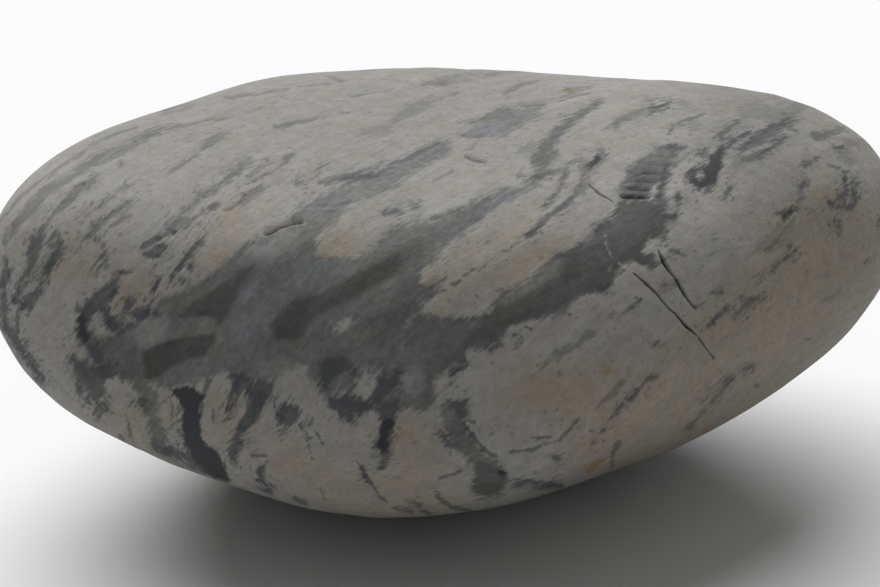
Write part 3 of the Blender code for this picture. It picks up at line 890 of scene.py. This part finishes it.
def drawn_fields(pixels, steady):
    """The numbers that the material draws the marks with, from the edges that wander and the steady ones."""
    slate = np.maximum(outline_field(pixels, SLATE_OUTLINES.values()), stroke_field(pixels, SLATE_STRANDS))
    pale = np.maximum(outline_field(pixels, PALE_OUTLINES), stroke_field(pixels, PALE_STRANDS))
    ring = np.maximum(outline_field(steady, [RING_OUTLINE]), stroke_field(steady, [RING_TAIL]))
    ring = np.minimum(ring + RING_BOLDNESS, -stroke_field(steady, [RING_HOLE]))
    dark = np.maximum(stroke_field(pixels, DARK_STREAKS), outline_field(pixels, DARK_OUTLINES))
    black = np.maximum(stroke_field(steady, BLACK_STREAKS), outline_field(pixels, BLACK_OUTLINES))
    return {
        "slate": np.minimum(slate, -pale),
        "tone": toned(pixels, SLATE_TONE, SLATE_TONES_AND_PAINTED_HIGHLIGHT),
        # tones of the light stone, with painted shade on the upper right
        "light_tone_and_painted_shade": toned(pixels, LIGHT_TONE, LIGHT_TONES_AND_PAINTED_SHADE),
        "warm": stroke_field(pixels, WARM_AREAS, WARM_MARGIN),
        "stain": stroke_field(steady, STAINS),
        "faint": stroke_field(pixels, FAINT_STREAKS),
        "grey": stroke_field(pixels, GREY_STREAKS),
        "dark": np.minimum(np.maximum(dark, ring), DARK_INTO_PALE - pale),
        "black": np.maximum(black, ring - RING_CORE_DEPTH),
        "thin": stroke_field(steady, THIN_LINES),
        "scratch": stroke_field(steady, SCRATCHES),
        # how dark the streaks are, paler on the top as painted sheen
        "strength": streak_strength_with_painted_sheen(pixels),
    }


def make_stone():
    """The stone with its relief, and the fields of its layers and lines stored on its mesh."""
    mesh = stone_mesh()
    units = unit_vectors(vertex_places(mesh))
    points = surface_points(units)
    normals = surface_normals(units)
    pixels = to_picture(points)
    seen = smooth_step(*MARKS_FADE_FACING, facing_camera(points, normals))
    layering = layering_places(points)
    steady = wandering_pixels(points, pixels, SMALL_WANDERS)
    hollow = np.maximum(crack_depth(steady), ledge_depth(pixels))
    shaped = points + normals * relief(points, pixels, hollow, seen, layering)[:, None]
    for vert, place in zip(mesh.verts, fit_to_cad(shaped)):
        vert.co = place
    data = bpy.data.meshes.new("pebble_surface")
    mesh.to_mesh(data)
    mesh.free()
    data.shade_smooth()

    fields = drawn_fields(wandering_pixels(points, pixels, LAYER_WANDERS), steady)
    fields["hollow"] = hollow
    fields["seen"] = seen
    for name, values in fields.items():
        attribute = data.attributes.new(name, "FLOAT", "POINT")
        attribute.data.foreach_set("value", values.astype(np.float32))
    attribute = data.attributes.new("layering", "FLOAT_VECTOR", "POINT")
    attribute.data.foreach_set("vector", layering.astype(np.float32).ravel())

    stone = bpy.data.objects.new("pebble_stone", data)
    bpy.context.scene.collection.objects.link(stone)
    data.materials.append(stone_material())
    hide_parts("pebble")
    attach(stone, "root")


def streak_strength_with_painted_sheen(pixels):
    """How dark the streaks are: paler on the top as painted sheen, but less so to the right, and paler on
    the right flank.
    """
    low_down = smooth_step(*LOW_DOWN, pixels[:, 1])
    to_the_right = smooth_step(*TO_THE_RIGHT, pixels[:, 0])
    right_flank = to_the_right * smooth_step(*RIGHT_FLANK, pixels[:, 1])
    darker = np.maximum(low_down, RIGHT_SHARE * to_the_right)
    return TOP_STRENGTH_UNDER_PAINTED_SHEEN + (1.0 - TOP_STRENGTH_UNDER_PAINTED_SHEEN) * darker - FLANK_PALER * right_flank


class Nodes:
    """Short ways to add the nodes that the stone's material is made of."""

    def __init__(self, material):
        self.tree = material.node_tree
        self.nodes = self.tree.nodes
        self.shader = self.nodes["Principled BSDF"]

    def set(self, socket, value):
        """Join a socket to another, or give it a plain value."""
        if isinstance(value, bpy.types.NodeSocket):
            self.tree.links.new(value, socket)
        else:
            socket.default_value = value

    def field(self, name, kind="Fac"):
        """A number stored on the mesh, or with the kind "Vector" three of them."""
        node = self.nodes.new("ShaderNodeAttribute")
        node.attribute_name = name
        return node.outputs[kind]

    def math(self, operation, first, second):
        """One sum of two values."""
        node = self.nodes.new("ShaderNodeMath")
        node.operation = operation
        self.set(node.inputs[0], first)
        self.set(node.inputs[1], second)
        return node.outputs[0]

    def times(self, first, second):
        """Two values multiplied."""
        return self.math("MULTIPLY", first, second)

    def stretched(self, vector, scale, offset):
        """Places scaled by one number for each axis and moved aside."""
        node = self.nodes.new("ShaderNodeMapping")
        self.set(node.inputs["Vector"], vector)
        node.inputs["Scale"].default_value = scale
        node.inputs["Location"].default_value = (offset, offset, offset)
        return node.outputs[0]

    def noise(self, vector, detail, roughness):
        """Noise with one bump to a unit, between about 0.3 and 0.7."""
        node = self.nodes.new("ShaderNodeTexNoise")
        node.inputs["Scale"].default_value = 1.0
        node.inputs["Detail"].default_value = detail
        node.inputs["Roughness"].default_value = roughness
        self.set(node.inputs["Vector"], vector)
        return node.outputs["Fac"]

    def rise(self, value, low, high):
        """0 below low, 1 above high, and a soft rise between."""
        node = self.nodes.new("ShaderNodeMapRange")
        node.interpolation_type = "SMOOTHSTEP"
        self.set(node.inputs["Value"], value)
        node.inputs["From Min"].default_value = low
        node.inputs["From Max"].default_value = high
        return node.outputs["Result"]

    def mix(self, kind, share, first, second):
        """One thing or another, or a share of both."""
        node = self.nodes.new("ShaderNodeMix")
        node.data_type = kind
        self.set(node.inputs["Factor"], share)
        self.set(node.inputs["A"], first)
        self.set(node.inputs["B"], second)
        return node.outputs["Result"]

    def blend(self, share, first, second):
        """A mix of two colours."""
        return self.mix("RGBA", share, first, second)

    def between(self, share, first, second):
        """A mix of two numbers."""
        return self.mix("FLOAT", share, first, second)

    def scaled(self, colour, by):
        """A colour made darker or lighter by a number."""
        node = self.nodes.new("ShaderNodeVectorMath")
        node.operation = "SCALE"
        self.set(node.inputs[0], colour)
        self.set(node.inputs["Scale"], by)
        return node.outputs[0]


LIGHT_STONE = (0.232, 0.226, 0.212, 1.0)
COOL_LIGHT_STONE = (0.186, 0.184, 0.176, 1.0)
TAN_STONE = (0.226, 0.199, 0.157, 1.0)
SLATE_WHITE = (0.200, 0.200, 0.194, 1.0)
GREEN_CAST = (0.200, 0.204, 0.186, 1.0)
BLUE_CAST = (0.196, 0.201, 0.210, 1.0)
DARK_STONE = (0.048, 0.051, 0.056, 1.0)
BLACK_STONE = (0.027, 0.029, 0.033, 1.0)
# Dark brown painted shade for the cracks and ledge hollows, with some dirt
HOLLOW_SHADE_AND_DIRT = (0.048, 0.040, 0.029, 1.0)
STAIN_OCHRE = (0.185, 0.120, 0.050, 1.0)
SCRATCH_WHITE = (0.30, 0.30, 0.29, 1.0)


# The material's noises: what they follow, the layers or the plain stone, their bumps to a millimetre across
# and along it, how far aside they start, their detail and their roughness
NOISES = {
    "streaks": ("layers", 0.9, 0.16, 0.0, 4.0, 0.6),
    "fine streaks": ("layers", 3.0, 0.8, 3.0, 3.0, 0.6),
    "fray": ("layers", 1.9, 0.9, 8.0, 4.0, 0.65),
    "feathers": ("layers", 3.4, 0.42, 15.0, 3.0, 0.6),
    "blotches": ("layers", 0.30, 0.12, 4.0, 3.0, 0.55),
    "spots": ("stone", 1.2, 1.2, 17.0, 3.0, 0.65),
    "mottling": ("stone", 0.22, 0.22, 9.0, 4.0, 0.6),
    "clouds": ("stone", 0.5, 0.5, 21.0, 3.0, 0.6),
    "grain": ("stone", 2.6, 2.6, 5.0, 3.0, 0.7),
    "specks": ("layers", 2.6, 1.1, 31.0, 2.0, 0.5),
    "hidden slate": ("layers", 0.11, 0.03, 2.0, 3.0, 0.55),
    "hidden dark": ("layers", 0.30, 0.045, 6.0, 3.0, 0.55),
}

# How far each noise moves a frayed edge, against the others
FRAYING = {"streaks": 0.8, "fray": 0.8, "feathers": 0.9, "grain": 0.4}

# How much lighter and darker each noise makes the light stone, and the slate
LIGHT_MOTTLING = {"feathers": (1.03, 0.97), "spots": (1.07, 0.93), "clouds": (1.04, 0.96)}
SLATE_MOTTLING = {
    "blotches": (1.16, 0.86), "fray": (1.12, 0.88), "feathers": (1.05, 0.95), "spots": (1.10, 0.90),
}

# Marks of the seen side alone: how far their edges fray, where the edge starts and ends, in pixels, how
# much they cover, and their colour
MARK_LOOKS = {
    "faint": (14.0, -4.0, 4.0, 0.34, DARK_STONE),
    "grey": (12.0, -3.0, 3.0, 0.50, DARK_STONE),
    "thin": (6.0, -1.6, 1.2, 0.70, DARK_STONE),
    "black": (8.0, -2.4, 2.4, 0.96, BLACK_STONE),
    "scratch": (6.0, -1.0, 1.0, 0.45, SCRATCH_WHITE),
    "stain": (12.0, -3.0, 4.0, 0.85, STAIN_OCHRE),
}


# The looks of the layers' edges: how far they fray, and where the edge starts and ends, in pixels. The halo
# is the paler rim around the dark layers.
SLATE_EDGE = (15.0, -4.5, 4.0)
HALO_EDGE = (14.0, -6.0, 1.0)
DARK_EDGE = (12.0, -2.4, 2.4)
HALO_COVER = 0.28
FLECK_COVER = 0.45
# How much painted shade, with some dirt, darkens the cracks and ledge hollows
HOLLOW_SHADE_AND_DIRT_COVER = 0.85

# Layers of the hidden sides: the noise at which they start, and the pixels that one unit of it stands for
HIDDEN_SLATE = (0.56, 120.0)
HIDDEN_DARK = (0.60, 70.0)


def layer_noises(n):
    """The noises that the material's layers are frayed and mottled with."""
    position = n.nodes.new("ShaderNodeTexCoord").outputs["Object"]
    places = {
        "layers": n.field("layering", "Vector"),
        "stone": n.stretched(position, (1.0 / MM, 1.0 / MM, 1.0 / MM), 0.0),
    }
    noises = {}
    for name, (followed, across, along, offset, detail, roughness) in NOISES.items():
        stretched = n.stretched(places[followed], (across, along, along), offset)
        noises[name] = n.noise(stretched, detail, roughness)
    return noises


def shifted(n, field, noise, reach):
    """A field whose edge a noise moves to and fro by up to about a third of the reach, in pixels."""
    return n.math("ADD", field, n.times(n.math("SUBTRACT", noise, 0.5), reach))


def frayed(n, noises, field, reach):
    """A field whose edge is frayed at several scales and drawn out in feathers along the layers."""
    for name, share in FRAYING.items():
        field = shifted(n, field, noises[name], share * reach)
    return field


def edged(n, noises, field, reach, low, high):
    """How much a layer or mark covers: 0 outside its frayed edge, and 1 inside."""
    return n.rise(frayed(n, noises, field, reach), low, high)


def hidden_field(n, noise, start, pixels):
    """A field for the layers of the hidden sides, from a noise."""
    return n.times(n.math("SUBTRACT", noise, start), pixels)


def mottled(n, noises, tone, mottling):
    """A tone that noises make a little lighter and darker."""
    for name, (lighter, darker) in mottling.items():
        tone = n.times(tone, n.between(n.rise(noises[name], 0.30, 0.70), lighter, darker))
    return tone


def with_mark(n, noises, colour, name, strength=1.0):
    """A colour with one kind of drawn mark over it, on the seen side."""
    reach, low, high, cover, paint = MARK_LOOKS[name]
    mark = edged(n, noises, n.field(name), reach, low, high)
    share = n.times(n.times(mark, strength), n.times(n.field("seen"), cover))
    return n.blend(share, colour, paint)


def light_stone(n, noises):
    """The light stone: warm grey, tan in places, faintly streaked and mottled, with a few stains, and
    painted shade on the upper right.
    """
    seen = n.field("seen")
    warm = n.rise(shifted(n, n.field("warm"), noises["mottling"], 60.0), -26.0, 26.0)
    warm = n.between(seen, n.rise(noises["mottling"], 0.45, 0.70), warm)
    colour = n.blend(warm, LIGHT_STONE, TAN_STONE)
    colour = n.blend(n.times(n.rise(noises["clouds"], 0.40, 0.66), 0.35), colour, TAN_STONE)
    colour = n.blend(n.times(n.rise(noises["streaks"], 0.46, 0.70), 0.7), colour, COOL_LIGHT_STONE)
    # Drawn tones of the light stone, with painted shade on the upper right flank
    tone = n.between(seen, 1.0, n.field("light_tone_and_painted_shade"))
    colour = n.scaled(colour, mottled(n, noises, tone, LIGHT_MOTTLING))
    colour = n.blend(n.times(n.rise(noises["specks"], 0.62, 0.72), 0.40), colour, DARK_STONE)
    return with_mark(n, noises, colour, "stain")


def slate_stone(n, noises):
    """The slate: mid grey in drawn tones, one of them a painted highlight, with green and blue casts and
    soft blotches.
    """
    colour = n.blend(n.rise(noises["clouds"], 0.42, 0.62), GREEN_CAST, SLATE_WHITE)
    colour = n.blend(n.rise(noises["mottling"], 0.46, 0.66), colour, BLUE_CAST)
    hidden_tone = n.between(n.rise(noises["blotches"], 0.42, 0.60), 0.66, 0.42)
    # Drawn slate tones, one of them a painted highlight under the left ledge
    tone = n.between(n.field("seen"), hidden_tone, n.field("tone"))
    return n.scaled(colour, mottled(n, noises, tone, SLATE_MOTTLING))


def stone_colour(n, noises):
    """The stone's colour: light stone, slate over it, then faint, dark, black and thin streaks, and painted
    shade in the hollows.
    """
    seen = n.field("seen")
    # The streaks are made paler on the top: painted sheen
    strength = n.between(seen, 1.0, n.field("strength"))
    hidden_slate = hidden_field(n, noises["hidden slate"], *HIDDEN_SLATE)
    hidden_dark = hidden_field(n, noises["hidden dark"], *HIDDEN_DARK)
    dark_field = n.between(seen, hidden_dark, n.field("dark"))
    slate = edged(n, noises, n.between(seen, hidden_slate, n.field("slate")), *SLATE_EDGE)
    halo = edged(n, noises, dark_field, *HALO_EDGE)
    dark = edged(n, noises, dark_field, *DARK_EDGE)
    patchy = n.between(n.rise(noises["clouds"], 0.36, 0.62), 0.95, 0.68)
    flecks = n.times(n.rise(dark_field, -13.0, -2.0), n.rise(noises["specks"], 0.56, 0.63))

    colour = n.blend(slate, light_stone(n, noises), slate_stone(n, noises))
    colour = with_mark(n, noises, colour, "faint")
    colour = with_mark(n, noises, colour, "grey")
    colour = n.blend(n.times(flecks, n.times(strength, FLECK_COVER)), colour, DARK_STONE)
    colour = with_mark(n, noises, colour, "thin", strength)
    colour = n.blend(n.times(n.times(halo, strength), HALO_COVER), colour, DARK_STONE)
    colour = n.blend(n.times(n.times(dark, strength), patchy), colour, DARK_STONE)
    colour = with_mark(n, noises, colour, "black")
    colour = with_mark(n, noises, colour, "scratch")
    # Painted shade, with some dirt, darkening the cracks and ledge hollows the more the deeper they are
    hollow = n.rise(n.field("hollow"), 0.10, 0.6)
    return n.blend(n.times(hollow, n.times(seen, HOLLOW_SHADE_AND_DIRT_COVER)), colour, HOLLOW_SHADE_AND_DIRT)


def stone_material():
    """Dull light stone, with slate and dark layers whose edges fray along the layering."""
    material = bpy.data.materials.new("worn_stone")
    material.use_nodes = True
    n = Nodes(material)
    noises = layer_noises(n)
    n.set(n.shader.inputs["Base Color"], stone_colour(n, noises))
    n.shader.inputs["Roughness"].default_value = 0.78
    n.shader.inputs["Specular IOR Level"].default_value = 0.2

    bump = n.nodes.new("ShaderNodeBump")
    bump.inputs["Strength"].default_value = 0.6
    bump.inputs["Distance"].default_value = 0.1 * MM
    height = n.math("ADD", noises["grain"], n.times(noises["fine streaks"], 0.8))
    n.set(bump.inputs["Height"], height)
    n.set(n.shader.inputs["Normal"], bump.outputs["Normal"])
    return material


# The floor, in metres, and the studio light: the strength of the light from above, how wide it is and how
# far it is turned in degrees, and the strength of the even fill
FLOOR_REACH = 6.0
FLOOR_COLOUR = (0.68, 0.68, 0.68, 1.0)
SUN_STRENGTH = 4.4
SUN_WIDTH = 70.0
SUN_TURN = (-30.0, -14.0, 0.0)
FILL_STRENGTH = 0.25


def make_floor():
    """A plain pale floor that reaches far beyond the picture."""
    data = bpy.data.meshes.new("floor")
    corners = [(x * FLOOR_REACH, y * FLOOR_REACH, 0.0) for x, y in ((-1, -1), (1, -1), (1, 1), (-1, 1))]
    data.from_pydata(corners, [], [(0, 1, 2, 3)])
    floor = bpy.data.objects.new("floor", data)
    bpy.context.scene.collection.objects.link(floor)
    material = bpy.data.materials.new("pale_floor")
    material.use_nodes = True
    shader = material.node_tree.nodes["Principled BSDF"]
    shader.inputs["Base Color"].default_value = FLOOR_COLOUR
    shader.inputs["Roughness"].default_value = 0.9
    shader.inputs["Specular IOR Level"].default_value = 0.0
    data.materials.append(material)


def make_lights():
    """One broad soft light from above and a little behind, and a dim even fill all round."""
    light = bpy.data.lights.new("overhead", "SUN")
    light.energy = SUN_STRENGTH
    light.angle = math.radians(SUN_WIDTH)
    overhead = bpy.data.objects.new("overhead", light)
    overhead.rotation_euler = [math.radians(turn) for turn in SUN_TURN]
    bpy.context.scene.collection.objects.link(overhead)
    world = bpy.data.worlds.new("studio")
    world.use_nodes = True
    background = world.node_tree.nodes["Background"]
    background.inputs["Color"].default_value = (1.0, 1.0, 1.0, 1.0)
    background.inputs["Strength"].default_value = FILL_STRENGTH
    bpy.context.scene.world = world
    bpy.context.scene.view_settings.view_transform = "Standard"


def stone_middle():
    """Where the stone's middle stands in the frame, in millimetres."""
    directions = unit_vectors(np.random.default_rng(3).normal(size=(40000, 3)))
    points = surface_points(directions)
    low = points.min(axis=0)
    high = points.max(axis=0)
    cad_low = np.array(CAD_LOW) / MM
    cad_high = np.array(CAD_HIGH) / MM
    middle = (cad_low + cad_high) / 2 - (low + high) / 2
    middle[2] = cad_high[2] - high[2]
    return middle


def make_camera():
    """The camera on the near side, aimed so that the stone's middle stands at its place in the picture."""
    camera = bpy.data.cameras.new("camera")
    camera.lens = LENS
    camera.sensor_width = SENSOR
    camera.clip_start = 0.01
    camera.clip_end = 50.0
    mm_per_pixel = CAMERA_DISTANCE / FOCAL_PIXELS
    right_shift = (PICTURE_WIDTH / 2 - MIDDLE_IN_PICTURE[0]) * mm_per_pixel
    up_shift = (MIDDLE_IN_PICTURE[1] - PICTURE_HEIGHT / 2) * mm_per_pixel
    aim = stone_middle() + right_shift * RIGHT + up_shift * UP
    place = aim + BACK * CAMERA_DISTANCE
    viewer = bpy.data.objects.new("camera", camera)
    viewer.location = tuple(place * MM)
    viewer.rotation_euler = (math.pi / 2 - CAMERA_ELEVATION, 0.0, 0.0)
    bpy.context.scene.collection.objects.link(viewer)
    bpy.context.scene.camera = viewer


make_stone()
make_floor()
make_lights()
make_camera()
